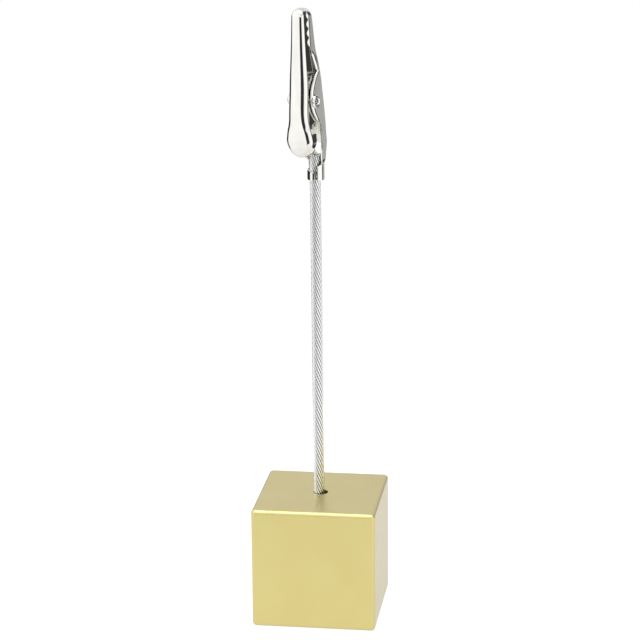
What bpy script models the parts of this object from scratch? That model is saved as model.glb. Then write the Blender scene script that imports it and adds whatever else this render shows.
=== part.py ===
"""Table number holder: a cube base, a wire-rope stem and a sprung card clip.

Metres, +Z up. The origin is the centre of the cube's bottom face, and the cube's
front face looks towards -Y. The clip is built in its own frame, an empty on the stem's
axis just below the crimp: X runs along the pivot (V), Y from the upper
jaw's back to the lower jaw's web (U), and Z up the stem.
"""
import math

import bmesh
import bpy
from mathutils import Vector

MM = 0.001

# Base
CUBE_SIDE = 30 * MM
CUBE_EDGE_RADIUS = 1.0 * MM
STEM_HOLE_RADIUS = 1.75 * MM
STEM_HOLE_DEPTH = 12 * MM
BOND_BELOW_MOUTH = 1.5 * MM
BOND_GAP = 0.05 * MM

# Stem: one straight strand of 1 + 6 + 12 wires
STEM_SHIFT = 0.35 * MM            # the stem rests against the left side of its hole
STEM_LEAN = math.radians(0.27)
STEM_TOP = 84.4 * MM              # above the cube's top face
STEM_ABOVE_HOLE_BOTTOM = 0.6 * MM
ROPE_RADIUS = 1.24 * MM
ROPE_LAY = 17.6 * MM
OUTER_WIRES = 12
OUTER_WIRE_RADIUS = 0.22 * MM
INNER_WIRES = 6
INNER_WIRE_RADIUS = 0.21 * MM
INNER_CIRCLE_RADIUS = 0.49 * MM
CORE_WIRE_RADIUS = 0.22 * MM
ROPE_CLEARANCE = 0.05 * MM

# Clip
CLIP_BASE = 77.8 * MM             # the clip frame's height above the cube's top face
CLIP_TURN = math.radians(-27)     # about the stem
SHEET = 0.45 * MM
PIVOT_U = -3.4 * MM
PIVOT_Z = 20.1 * MM
PIVOT_HOLE_RADIUS = 0.87 * MM
SHAFT_RADIUS = 0.80 * MM
TOOTH_PITCH = 2.1 * MM
TOOTH_HEIGHT = 0.75 * MM
TOOTH_COUNT = 4
FIRST_TOOTH_Z = 33.0 * MM
TOOTH_LINE_U = -4.05 * MM         # valleys of the lower jaw's teeth
NOSE_STEPS = 5
JAW_GAP = 0.4 * MM
UPPER_WAIST_U = -3.7 * MM         # at the head of the upper jaw's lugs
CUTTER_LENGTH = 8 * MM

# Lower jaw, as (height, size) pairs
LOWER_NOSE_Z = 39.9 * MM
LOWER_NOSE_RISE = 1.9 * MM
LOWER_HALF_WIDTH = [(0, 2.4), (6, 2.45), (9.4, 2.6), (19, 2.85), (24, 2.85), (28.1, 2.6),
                    (31.7, 2.1), (36.7, 1.8), (39.6, 1.65)]
LOWER_WEB_U = [(0, 1.85), (9.4, 1.85), (11.9, 1.45), (17.9, 0.55), (23.8, -0.4), (29.6, -1.2),
               (33.2, -1.75), (39.6, -2.35), (41.5, -2.9)]
LOWER_CORNER = [(0, 1.3), (6, 1.2), (10, 0.8), (15, 0.7), (41.5, 0.7)]
EAR_CENTRE_Z = 21.1 * MM
EAR_CENTRE_U = 2.9 * MM
EAR_RADIUS = 7.8 * MM
EAR_HALF_CHORD = 6.15 * MM
EAR_STEPS = 10
EAR_FOOT = 0.3 * MM
TROUGH_EDGE_U = -0.45 * MM
TROUGH_EDGE_DROP = 0.6 * MM
TROUGH_DROP_Z = (9 * MM, 14.5 * MM)
WAIST_U = -2.5 * MM               # where the ear ends
TROUGH_HEIGHTS = [0.7, 1.4, 2.0, 2.4, 2.75, 3.1, 3.4, 3.8, 4.2, 4.6, 5.2, 6, 7, 8, 9, 10, 11.5, 13,
                  14.4]
WAIST_HEIGHTS = [29.5, 31.7]
WEB_HOLE_RADIUS = 1.48 * MM
WEB_HOLE_Z = 8.0 * MM
WEB_CUTTER_LENGTH = 3 * MM
BARREL_CENTRE = 0.18 * MM         # the crimp sits off the rope's axis, in V and in U
BARREL_RADIUS = 2.05 * MM
NEAR_TAB_ANGLE = math.radians(138)
FAR_TAB_ANGLE = math.radians(200)
OPEN_ANGLE = math.radians(97)     # half the opening's wrap below the tabs
BARREL_END_Z = (6 * MM, 4.4 * MM)
NEAR_TAB_Z = (4.6 * MM, 3.8 * MM)
FAR_TAB_Z = (3.4 * MM, 2.4 * MM)

# Upper jaw, as (height, size) pairs
SPOON_BOTTOM_Z = 6.8 * MM
SPOON_RISE = 4.3 * MM
SPOON_HALF_WIDTH = 3.6 * MM
UPPER_NOSE_Z = 40.1 * MM
UPPER_NOSE_RISE = 1.9 * MM
UPPER_HALF_WIDTH = [(11.1, 3.6), (13.3, 3.2), (14.75, 2.8), (16.2, 2.58), (18.3, 2.5),
                    (23.5, 2.45), (29, 2.15), (34.8, 1.85), (40.1, 1.65)]
UPPER_BACK_U = [(6.8, -6.3), (9.5, -6.85), (13, -7.2), (17.5, -7.55), (23.2, -7.3), (34.8, -7.0),
                (40.1, -6.9), (42, -6.45)]
UPPER_CORNER = [(6.8, 1.1), (12, 1.05), (16, 1.15), (23, 1.2), (29, 1.0), (34, 0.88), (40, 0.72)]
UPPER_CORNER_DEPTH = [(6.8, 1.05), (12, 1.3), (16, 1.45), (23, 1.5), (29, 1.25), (34, 1.1), (40, 0.9)]
SPOON_RIM_U = [(6.8, -5.1), (9, -4.7), (11, -4.35), (14.1, -3.95)]
LUG_U = -1.5 * MM
LUG_HALF_WIDTH = 1.98 * MM
LUG_OUTLINE_Z = [14.2, 15.9, 24.4, 25.8]
LUG_FADE = 1.8 * MM
JOGGLE_START = 0.02               # shares of the wall over which it steps inwards to the lug
JOGGLE_END = 0.15
UPPER_HEIGHTS = [12.2, 13.2, 14.2, 15.0, 15.9, 17.5, 20.1, 22.5, 24.4, 25.8, 29, 32]

# Pivot and spring
HEAD_RADIUS = 1.55 * MM
HEAD_HEIGHT = 1.4 * MM
HEAD_ROUNDING = 0.35 * MM
ROLLED_RADIUS = 1.55 * MM
ROLLED_HEIGHT = 0.45 * MM
ROLLED_RIM = 0.15 * MM
ROLLED_LIP = 0.45 * MM            # from the rim to the middle of the rolled ring
ROLLED_DISH = 0.12 * MM
EAR_OUTER = 2.85 * MM
RIVET_GAP = 0.04 * MM
SPRING_WIRE_RADIUS = 0.25 * MM
SPRING_COIL_RADIUS = 1.2 * MM
SPRING_TURNS = 4
SPRING_HALF_WIDTH = 1.1 * MM
SPRING_STEPS_A_TURN = 12
WEB_ARM_ANGLE = math.radians(-60)
SPOON_ARM_ANGLE = math.radians(-145)
WEB_ARM_END = (-SPRING_HALF_WIDTH, 0.25 * MM, 12.6 * MM)
SPOON_ARM_END = (SPRING_HALF_WIDTH, -6.35 * MM, 11.6 * MM)


def clear_scene():
    for obj in list(bpy.data.objects):
        bpy.data.objects.remove(obj, do_unlink=True)


def make_collection(name):
    collection = bpy.data.collections.new(name)
    bpy.context.scene.collection.children.link(collection)
    return collection


def make_material(name, colour, roughness, metallic):
    material = bpy.data.materials.new(name)
    material.use_nodes = True
    shader = material.node_tree.nodes["Principled BSDF"]
    shader.inputs["Base Color"].default_value = (*colour, 1)
    shader.inputs["Roughness"].default_value = roughness
    shader.inputs["Metallic"].default_value = metallic
    material.diffuse_color = (*colour, 1)
    return material


def add_object(name, data, material, parent=None):
    obj = bpy.data.objects.new(name, data)
    PARTS.objects.link(obj)
    obj.parent = parent
    data.materials.append(material)
    return obj


def add_empty(name, location, rotation=(0, 0, 0), parent=None):
    empty = bpy.data.objects.new(name, None)
    PARTS.objects.link(empty)
    empty.parent = parent
    empty.location = location
    empty.rotation_euler = rotation
    empty.empty_display_size = 5 * MM
    return empty


def shade_smooth(mesh, angle=35):
    mesh.shade_smooth()
    mesh.set_sharp_from_angle(angle=math.radians(angle))


def cylinder_mesh(name, radius, length, sides):
    """A capped cylinder along Z, centred on its own origin."""
    mesh = bpy.data.meshes.new(name)
    shape = bmesh.new()
    bmesh.ops.create_cone(shape, cap_ends=True, segments=sides, radius1=radius,
                          radius2=radius, depth=length)
    shape.to_mesh(mesh)
    shape.free()
    return mesh


def cutter_cylinder(name, radius, length, location, rotation=(0, 0, 0), parent=None, sides=24):
    cutter = bpy.data.objects.new(name, cylinder_mesh(name, radius, length, sides))
    CUTTERS.objects.link(cutter)
    cutter.parent = parent
    cutter.location = location
    cutter.rotation_euler = rotation
    cutter.hide_render = True
    cutter.display_type = "WIRE"
    return cutter


def cut(obj, cutter):
    boolean = obj.modifiers.new(cutter.name, "BOOLEAN")
    boolean.operation = "DIFFERENCE"
    boolean.solver = "EXACT"
    boolean.object = cutter


def smooth_curve(pairs):
    """A smooth function of height through (height, size) pairs, both given in millimetres."""
    xs = [x * MM for x, _ in pairs]
    ys = [y * MM for _, y in pairs]
    slopes = [(ys[i + 1] - ys[i]) / (xs[i + 1] - xs[i]) for i in range(len(xs) - 1)]
    tangents = [slopes[0]]
    for before, after in zip(slopes, slopes[1:]):
        same_way = before * after > 0
        tangents.append(2 * before * after / (before + after) if same_way else 0)
    tangents.append(slopes[-1])

    def value(x):
        x = min(max(x, xs[0]), xs[-1])
        i = max(k for k in range(len(xs) - 1) if xs[k] <= x)
        span = xs[i + 1] - xs[i]
        t = (x - xs[i]) / span
        return ((1 + 2 * t) * (1 - t) ** 2 * ys[i] + t * (1 - t) ** 2 * span * tangents[i]
                + t * t * (3 - 2 * t) * ys[i + 1] + t * t * (t - 1) * span * tangents[i + 1])

    return value


def ramp(x, start, end):
    """0 at start and 1 at end, eased at both."""
    t = min(max((x - start) / (end - start), 0), 1)
    return t * t * (3 - 2 * t)


# ---------------------------------------------------------------- base and stem

def make_base():
    bpy.ops.mesh.primitive_cube_add(size=CUBE_SIDE, location=(0, 0, CUBE_SIDE / 2))
    cube = bpy.context.object
    cube.name = "base_cube"
    cube.data.name = "base_cube"
    for collection in list(cube.users_collection):
        collection.objects.unlink(cube)
    PARTS.objects.link(cube)
    cube.data.materials.append(GOLD)
    bevel = cube.modifiers.new("rounded_edges", "BEVEL")
    bevel.width = CUBE_EDGE_RADIUS
    bevel.segments = 3
    hole = cutter_cylinder("stem_hole_cutter", STEM_HOLE_RADIUS, 2 * STEM_HOLE_DEPTH,
                           (0, 0, CUBE_SIDE), sides=32)
    cut(cube, hole)


def make_adhesive(stem):
    """The sleeve of adhesive that holds the stem's lower end in the cube."""
    height = STEM_HOLE_DEPTH - BOND_BELOW_MOUTH - 2 * BOND_GAP
    mesh = cylinder_mesh("adhesive_bond", STEM_HOLE_RADIUS - BOND_GAP, height, 32)
    middle = CUBE_SIDE - BOND_BELOW_MOUTH - height / 2
    bond = add_object("adhesive_bond", mesh, ADHESIVE)
    bond.location = (0, 0, middle)
    rope_space = cutter_cylinder("rope_space_cutter", ROPE_RADIUS + ROPE_CLEARANCE,
                                 4 * STEM_HOLE_DEPTH, (0, 0, 0), parent=stem, sides=32)
    cut(bond, rope_space)


def wire_curve(name, points, radius, resolution):
    curve = bpy.data.curves.new(name, "CURVE")
    curve.dimensions = "3D"
    curve.bevel_depth = radius
    curve.bevel_resolution = resolution
    curve.use_fill_caps = True
    spline = curve.splines.new("POLY")
    spline.points.add(len(points) - 1)
    for point, place in zip(spline.points, points):
        point.co = (*place, 1)
    return curve


def make_rope(stem):
    """A core wire, six inner wires laid right-handed and twelve outer wires laid left-handed."""
    bottom = STEM_ABOVE_HOLE_BOTTOM - STEM_HOLE_DEPTH
    length = STEM_TOP - bottom

    def lay(name, circle, radius, wires, hand, points_a_turn, resolution):
        steps = math.ceil(length / ROPE_LAY * points_a_turn)
        for i in range(wires):
            start = 2 * math.pi * i / wires
            points = []
            for k in range(steps + 1):
                z = bottom + length * k / steps
                angle = start + hand * 2 * math.pi * z / ROPE_LAY
                points.append((circle * math.cos(angle), circle * math.sin(angle), z))
            curve = wire_curve(f"{name}_{i + 1:02d}", points, radius, resolution)
            add_object(f"{name}_{i + 1:02d}", curve, STEEL, stem)

    core = add_object("rope_core_wire", cylinder_mesh("rope_core_wire", CORE_WIRE_RADIUS,
                                                      length, 10), STEEL, stem)
    core.location = (0, 0, bottom + length / 2)
    shade_smooth(core.data)
    lay("rope_inner_wire", INNER_CIRCLE_RADIUS, INNER_WIRE_RADIUS, INNER_WIRES, 1, 6, 0)
    lay("rope_outer_wire", ROPE_RADIUS - OUTER_WIRE_RADIUS, OUTER_WIRE_RADIUS, OUTER_WIRES,
        -1, 8, 1)


# ---------------------------------------------------------------- pressed jaws

def outline_normals(outline, closed_start):
    """Outward normals of the +V side of an outline that ends on its centre line."""
    normals = []
    last = len(outline) - 1
    for i, (v, z, _) in enumerate(outline):
        after = outline[i + 1] if i < last else (-outline[i - 1][0], outline[i - 1][1])
        if i > 0:
            before = outline[i - 1]
        else:
            before = (-outline[1][0], outline[1][1]) if closed_start else (v, z - MM)
        across, along = after[0] - before[0], after[1] - before[1]
        size = math.hypot(across, along)
        normals.append((along / size, -across / size))
    return normals


def round_end(half_width, straight_end, rise):
    """The last quarter of an outline, from its straight side to its centre line."""
    points = []
    for k in range(NOSE_STEPS + 1):
        a = math.pi / 2 * k / NOSE_STEPS
        points.append((half_width * math.cos(a), straight_end + rise * math.sin(a), straight_end))
    return points


def pressed_sheet(name, outline, back, section, closed_start, parent, origin=(0, 0, 0)):
    """A pressed sheet whose rows run from the far free edge over the back to the near one.

    outline holds (V, Z, Z of the row's middle) for the near side, and section(v, z, side)
    gives a side's corner and wall as (inset from the outline, depth below the back or None,
    U or None), with the depth or U that it isn't given left out.
    """
    rows = []
    for (v, z, middle_z), (nv, nz) in zip(outline, outline_normals(outline, closed_start)):
        halves = []
        for side in (-1, 1):
            half = [Vector((0, back(middle_z), middle_z))]
            for inset, depth, u in section(v, z, side):
                point_z = z - nz * inset
                if u is None:
                    u = back(point_z) + depth
                half.append(Vector((side * (v - nv * inset), u, point_z)))
            half.insert(1, (half[0] + half[1]) / 2)
            halves.append(half)
        far, near = halves
        rows.append([p - Vector(origin) for p in far[:0:-1] + near])
    if rows[0][len(rows[0]) // 2].y > rows[0][0].y:
        rows = [row[::-1] for row in rows]
    shape = bmesh.new()
    grid = [[shape.verts.new(p) for p in row] for row in rows]
    for lower, upper in zip(grid, grid[1:]):
        for j in range(len(lower) - 1):
            shape.faces.new((lower[j], lower[j + 1], upper[j + 1], upper[j]))
    bmesh.ops.remove_doubles(shape, verts=shape.verts, dist=1e-6)
    mesh = bpy.data.meshes.new(name)
    shape.to_mesh(mesh)
    shape.free()
    sheet = add_object(name, mesh, NICKEL, parent)
    thickness = sheet.modifiers.new("sheet", "SOLIDIFY")
    thickness.thickness = SHEET
    thickness.offset = -1
    shade_smooth(mesh)
    return sheet


def corner_section(width, depth, direction):
    """A channel's elliptical corner; direction is the way the wall runs in U."""
    points = []
    for angle in (0, 30, 60, 90):
        a = math.radians(angle)
        points.append((width * (1 - math.sin(a)), direction * depth * (1 - math.cos(a)), None))
    return points


def tooth_heights():
    """Heights of the teeth's valleys and peaks, from the rearmost valley to the nose."""
    return [FIRST_TOOTH_Z + k * TOOTH_PITCH / 2 for k in range(2 * TOOTH_COUNT)]


def tooth_edge(z):
    """U of the lower jaw's free edge in the toothed stretch."""
    phase = (z - FIRST_TOOTH_Z) / TOOTH_PITCH
    fraction = phase - math.floor(phase)
    return TOOTH_LINE_U - TOOTH_HEIGHT * (1 - abs(2 * fraction - 1))


def lower_edge(z):
    """U of the lower jaw's free edges: trough, ear, waist and teeth."""
    ear_start = EAR_CENTRE_Z - EAR_HALF_CHORD
    ear_end = EAR_CENTRE_Z + EAR_HALF_CHORD
    if z < ear_start:
        return TROUGH_EDGE_U - TROUGH_EDGE_DROP * ramp(z, *TROUGH_DROP_Z)
    if z <= ear_end:
        return EAR_CENTRE_U - math.sqrt(EAR_RADIUS ** 2 - (z - EAR_CENTRE_Z) ** 2)
    if z < FIRST_TOOTH_Z:
        return WAIST_U + (TOOTH_LINE_U - WAIST_U) * (z - ear_end) / (FIRST_TOOTH_Z - ear_end)
    return tooth_edge(z)


def lower_jaw_outline():
    half_width = smooth_curve(LOWER_HALF_WIDTH)
    heights = [h * MM for h in TROUGH_HEIGHTS]
    for k in range(EAR_STEPS + 1):
        heights.append(EAR_CENTRE_Z - EAR_HALF_CHORD * math.cos(math.pi * k / EAR_STEPS))
    heights.append(EAR_CENTRE_Z + EAR_HALF_CHORD + EAR_FOOT)
    heights += [h * MM for h in WAIST_HEIGHTS]
    heights += tooth_heights()
    outline = [(half_width(z), z, z) for z in heights if z < LOWER_NOSE_Z - 0.1 * MM]
    return outline + round_end(half_width(LOWER_NOSE_Z), LOWER_NOSE_Z, LOWER_NOSE_RISE)


def lower_section(web, corner):
    def section(v, z, side):
        wall_u = web(z) - corner(z)
        channel = corner_section(corner(z), corner(z), -1)
        channel += [(0, None, (wall_u + lower_edge(z)) / 2), (0, None, lower_edge(z))]
        barrel_share = ramp(z, *BARREL_END_Z)
        if barrel_share == 0:
            return channel
        if side > 0:
            wrap = OPEN_ANGLE + (NEAR_TAB_ANGLE - OPEN_ANGLE) * ramp(z, *NEAR_TAB_Z)
        else:
            wrap = OPEN_ANGLE + (FAR_TAB_ANGLE - OPEN_ANGLE) * ramp(z, *FAR_TAB_Z)
        points = []
        for k, (inset, depth, u) in enumerate(channel):
            if u is None:
                u = web(z) + depth
            a = wrap * (k + 2) / (len(channel) + 1)
            barrel_v = side * BARREL_CENTRE + BARREL_RADIUS * math.sin(a)
            barrel_u = BARREL_CENTRE + BARREL_RADIUS * math.cos(a)
            points.append((inset + (v - barrel_v - inset) * barrel_share, None,
                           u + (barrel_u - u) * barrel_share))
        return points

    return section


def make_lower_jaw(clip):
    outline = lower_jaw_outline()
    web = smooth_curve(LOWER_WEB_U)
    section = lower_section(web, smooth_curve(LOWER_CORNER))
    jaw = pressed_sheet("lower_jaw", outline, web, section, False, clip)
    pivot_cutter = cutter_cylinder("lower_pivot_cutter", PIVOT_HOLE_RADIUS, CUTTER_LENGTH,
                                   (0, PIVOT_U, PIVOT_Z), (0, math.pi / 2, 0), clip)
    web_cutter = cutter_cylinder("web_hole_cutter", WEB_HOLE_RADIUS, WEB_CUTTER_LENGTH,
                                 (0, web(WEB_HOLE_Z), WEB_HOLE_Z), (math.pi / 2, 0, 0), clip)
    cut(jaw, pivot_cutter)
    cut(jaw, web_cutter)


def upper_edge(z):
    """U of the upper jaw's free edges: spoon rim, lug, waist and teeth."""
    foot, shoulder_low, shoulder_high, head = [h * MM for h in LUG_OUTLINE_Z]
    root = TOOTH_LINE_U - JAW_GAP
    rim = smooth_curve(SPOON_RIM_U)
    if z < foot:
        return rim(z)
    if z < shoulder_low:
        return rim(foot) + (LUG_U - rim(foot)) * (z - foot) / (shoulder_low - foot)
    if z <= shoulder_high:
        return LUG_U
    if z < head:
        return LUG_U + (UPPER_WAIST_U - LUG_U) * (z - shoulder_high) / (head - shoulder_high)
    if z < FIRST_TOOTH_Z:
        return UPPER_WAIST_U + (root - UPPER_WAIST_U) * (z - head) / (FIRST_TOOTH_Z - head)
    return tooth_edge(z) - JAW_GAP


def upper_jaw_outline():
    half_width = smooth_curve(UPPER_HALF_WIDTH)
    spoon_centre = SPOON_BOTTOM_Z + SPOON_RISE
    outline = [(v, z, spoon_centre)
               for v, z, _ in reversed(round_end(SPOON_HALF_WIDTH, spoon_centre, -SPOON_RISE))]
    heights = [h * MM for h in UPPER_HEIGHTS] + tooth_heights()
    outline += [(half_width(z), z, z) for z in heights if z < UPPER_NOSE_Z - 0.1 * MM]
    return outline + round_end(half_width(UPPER_NOSE_Z), UPPER_NOSE_Z, UPPER_NOSE_RISE)


def lug_share(z):
    """1 in the lugs' stretch, where the walls step inwards, and 0 outside it."""
    foot, head = LUG_OUTLINE_Z[0] * MM, LUG_OUTLINE_Z[-1] * MM
    return ramp(z, foot - LUG_FADE, foot) * ramp(z, head + LUG_FADE, head)


def upper_section(back, corner, corner_depth):
    def section(v, z, side):
        wall_u = back(z) + corner_depth(z)
        wall = upper_edge(z) - wall_u
        tuck = max(v - LUG_HALF_WIDTH, 0) * lug_share(z)
        points = corner_section(corner(z), corner_depth(z), 1)
        points.append((0, None, wall_u + JOGGLE_START * wall))
        points += [(tuck, None, wall_u + share * wall) for share in (JOGGLE_END, 1)]
        return points

    return section


def make_upper_jaw(pivot):
    back = smooth_curve(UPPER_BACK_U)
    section = upper_section(back, smooth_curve(UPPER_CORNER), smooth_curve(UPPER_CORNER_DEPTH))
    jaw = pressed_sheet("upper_jaw", upper_jaw_outline(), back, section, True, pivot,
                        (0, PIVOT_U, PIVOT_Z))
    cutter = cutter_cylinder("upper_pivot_cutter", PIVOT_HOLE_RADIUS, CUTTER_LENGTH, (0, 0, 0),
                             (0, math.pi / 2, 0), pivot)
    cut(jaw, cutter)


# ---------------------------------------------------------------- pivot and spring

def make_rivet(clip):
    """A rivet along V: a pan head on the far side and a rolled-over end on the near side."""
    head_base = -EAR_OUTER - RIVET_GAP
    rolled_base = EAR_OUTER + RIVET_GAP
    profile = []
    profile.append((0, head_base - HEAD_HEIGHT))
    for angle in (0, 30, 60, 90):
        a = math.radians(angle)
        profile.append((HEAD_RADIUS - HEAD_ROUNDING * (1 - math.sin(a)),
                        head_base - HEAD_HEIGHT + HEAD_ROUNDING * (1 - math.cos(a))))
    profile += [(HEAD_RADIUS, head_base), (SHAFT_RADIUS, head_base), (SHAFT_RADIUS, rolled_base)]
    rim_top = rolled_base + ROLLED_RIM
    profile += [(ROLLED_RADIUS, rolled_base), (ROLLED_RADIUS, rim_top)]
    for angle in (30, 65, 100, 140):
        a = math.radians(angle)
        profile.append((ROLLED_RADIUS - ROLLED_LIP * (1 - math.cos(a)),
                        rim_top + (ROLLED_HEIGHT - ROLLED_RIM) * math.sin(a)))
    profile.append((0, rolled_base + ROLLED_DISH))
    shape = bmesh.new()
    verts = [shape.verts.new((r, 0, h)) for r, h in reversed(profile)]
    for a, b in zip(verts, verts[1:]):
        shape.edges.new((a, b))
    mesh = bpy.data.meshes.new("pivot_rivet")
    shape.to_mesh(mesh)
    shape.free()
    rivet = add_object("pivot_rivet", mesh, NICKEL, clip)
    rivet.location = (0, PIVOT_U, PIVOT_Z)
    rivet.rotation_euler = (0, math.pi / 2, 0)
    screw = rivet.modifiers.new("turned", "SCREW")
    screw.steps = 24
    screw.render_steps = 24
    screw.use_merge_vertices = True
    screw.merge_threshold = 0.00001
    screw.use_smooth_shade = False


def make_spring(clip):
    """A coil round the rivet, with one arm behind the spoon and one on the lower jaw's web."""
    total = 2 * math.pi * SPRING_TURNS + SPOON_ARM_ANGLE - WEB_ARM_ANGLE
    steps = SPRING_TURNS * SPRING_STEPS_A_TURN
    points = [WEB_ARM_END]
    for k in range(steps + 1):
        a = WEB_ARM_ANGLE + total * k / steps
        v = -SPRING_HALF_WIDTH + 2 * SPRING_HALF_WIDTH * k / steps
        points.append((v, PIVOT_U + SPRING_COIL_RADIUS * math.cos(a),
                       PIVOT_Z + SPRING_COIL_RADIUS * math.sin(a)))
    points.append(SPOON_ARM_END)
    curve = wire_curve("torsion_spring", points, SPRING_WIRE_RADIUS, 2)
    add_object("torsion_spring", curve, SPRING_STEEL, clip)


clear_scene()
PARTS = make_collection("table_number_holder")
CUTTERS = make_collection("cutters")
GOLD = make_material("gold_anodised_aluminium", (0.62, 0.52, 0.24), 0.38, 0.9)
STEEL = make_material("bright_steel_wire", (0.72, 0.72, 0.72), 0.3, 1.0)
NICKEL = make_material("nickel_plated_steel", (0.78, 0.77, 0.74), 0.12, 1.0)
SPRING_STEEL = make_material("spring_steel", (0.55, 0.55, 0.56), 0.3, 1.0)
ADHESIVE = make_material("clear_adhesive", (0.5, 0.48, 0.42), 0.4, 0.0)

STEM = add_empty("stem_axis", (-STEM_SHIFT, 0, CUBE_SIDE), (0, -STEM_LEAN, 0))
CLIP = add_empty("clip_axis", (0, 0, CLIP_BASE), (0, 0, CLIP_TURN), STEM)
PIVOT = add_empty("jaw_pivot_axis", (0, PIVOT_U, PIVOT_Z), (0, 0, 0), CLIP)

make_base()
make_adhesive(STEM)
make_rope(STEM)
make_lower_jaw(CLIP)
make_upper_jaw(PIVOT)
make_rivet(CLIP)
make_spring(CLIP)
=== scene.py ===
"""Looks of the table number holder: cube base, wire-rope stem and sprung card clip.

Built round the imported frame, in metres. The clip is made in its own frame, on the stem's
axis just below the crimp: V runs along the pivot, U from the upper jaw's back to the
lower jaw's web, and Z up the stem.
"""
import math

import bmesh
import bpy
from mathutils import Matrix, Vector


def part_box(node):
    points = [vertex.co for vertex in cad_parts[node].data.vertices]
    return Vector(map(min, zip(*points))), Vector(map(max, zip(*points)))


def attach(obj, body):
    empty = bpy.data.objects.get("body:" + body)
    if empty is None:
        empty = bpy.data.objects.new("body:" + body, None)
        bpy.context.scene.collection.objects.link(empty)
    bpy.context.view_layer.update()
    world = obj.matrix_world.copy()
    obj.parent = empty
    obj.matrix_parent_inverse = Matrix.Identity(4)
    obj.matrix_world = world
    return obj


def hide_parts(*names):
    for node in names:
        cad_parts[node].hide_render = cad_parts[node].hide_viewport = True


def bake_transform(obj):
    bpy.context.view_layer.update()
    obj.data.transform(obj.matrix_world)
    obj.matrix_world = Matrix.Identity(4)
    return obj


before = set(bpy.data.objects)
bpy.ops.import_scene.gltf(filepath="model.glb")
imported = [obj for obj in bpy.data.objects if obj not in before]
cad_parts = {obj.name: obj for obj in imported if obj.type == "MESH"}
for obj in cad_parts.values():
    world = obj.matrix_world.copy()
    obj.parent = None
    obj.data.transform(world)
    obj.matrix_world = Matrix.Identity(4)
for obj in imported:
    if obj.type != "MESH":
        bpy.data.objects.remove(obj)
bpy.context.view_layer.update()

MM = 0.001
CUBE_LOW, CUBE_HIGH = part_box("base_cube")
CUBE_TOP = CUBE_HIGH.z

# Stem
STEM_SHIFT = 0.35 * MM
STEM_LEAN = math.radians(0.27)
STEM_BOTTOM = -11.4 * MM          # from the cube's top face
STEM_TOP = 84.4 * MM
ROPE_LAY = 17.6 * MM
OUTER_CIRCLE_RADIUS = 1.073 * MM
OUTER_WIRE_RADIUS = 0.223 * MM
OUTER_WIRES = 12
INNER_WIRES = 6

# Cube
EDGE_RADIUS = 1.0 * MM
HOLE_RADIUS = 1.75 * MM
HOLE_DEPTH = 12 * MM
HOLE_CHAMFER = 0.12 * MM
CHAMFER_EASE = 0.3                # share of the chamfer that is turned off at its corner

# Clip
CLIP_BASE = 77.8 * MM
CLIP_TURN = math.radians(-27)
SHEET = 0.45 * MM
RIM_ROUNDING = 0.06 * MM
RIM_SQUARENESS = 0.4              # power of the rim's section: 1 is an ellipse, 0 a square
UPPER_FLARE = math.tan(math.radians(2.5))       # the walls' spread for their depth
TOOTH_CURL = 0.1 * MM             # how far a lower tooth curls in over the curl's depth
CURL_DEPTH = 0.6 * MM
CURL_START = 0.12 * MM            # from the teeth's roots towards the web
EAR_CURL = 0.15 * MM              # how far the ears' and the waist's edges curl in
EAR_CURL_DEPTH = 0.65 * MM
PIVOT_U = -3.4 * MM
PIVOT_Z = 20.1 * MM
PIVOT_HOLE_RADIUS = 0.87 * MM
TOOTH_PITCH = 2.1 * MM
TOOTH_HEIGHT = 0.75 * MM
TOOTH_COUNT = 4
TOOTH_ROUNDNESS = 1.8             # power of the lobed outline: 1 is a plain zigzag
FIRST_TOOTH_Z = 33.0 * MM
TOOTH_LINE_U = -4.05 * MM
JAW_GAP = 0.4 * MM
UPPER_WAIST_U = -3.7 * MM

# Lower jaw, as (height, size) pairs in millimetres
LOWER_START_Z = 0.7 * MM
LOWER_NOSE_Z = 39.9 * MM
LOWER_NOSE_RISE = 1.9 * MM
LOWER_HALF_WIDTH = [(0, 2.4), (6, 2.45), (9.4, 2.6), (19, 2.85), (24, 2.85), (28.1, 2.6),
                    (31.7, 2.1), (36.7, 1.8), (39.6, 1.65)]
LOWER_WEB_U = [(0, 1.85), (9.4, 1.85), (11.9, 1.45), (17.9, 0.55), (23.8, -0.4), (29.6, -1.2),
               (33.2, -1.75), (39.6, -2.35), (41.5, -2.9)]
LOWER_CORNER = [(0, 1.3), (6, 1.2), (10, 0.8), (15, 0.7), (41.5, 0.7)]
EAR_CENTRE_Z = 21.1 * MM
EAR_CENTRE_U = 2.9 * MM
EAR_RADIUS = 7.8 * MM
EAR_HALF_CHORD = 6.15 * MM
TROUGH_EDGE_U = -0.45 * MM
TROUGH_EDGE_DROP = 0.6 * MM
TROUGH_DROP_Z = (9 * MM, 14.5 * MM)
WAIST_U = -2.5 * MM
WEB_HOLE_RADIUS = 1.48 * MM
WEB_HOLE_Z = 8.0 * MM
BARREL_CENTRE = 0.18 * MM
BARREL_RADIUS = 2.05 * MM
NEAR_TAB_ANGLE = math.radians(138)
FAR_TAB_ANGLE = math.radians(200)
OPEN_ANGLE = math.radians(97)
BARREL_END_Z = (6 * MM, 4.4 * MM)
NEAR_TAB_Z = (4.6 * MM, 3.8 * MM)
FAR_TAB_Z = (3.4 * MM, 2.4 * MM)

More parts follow.
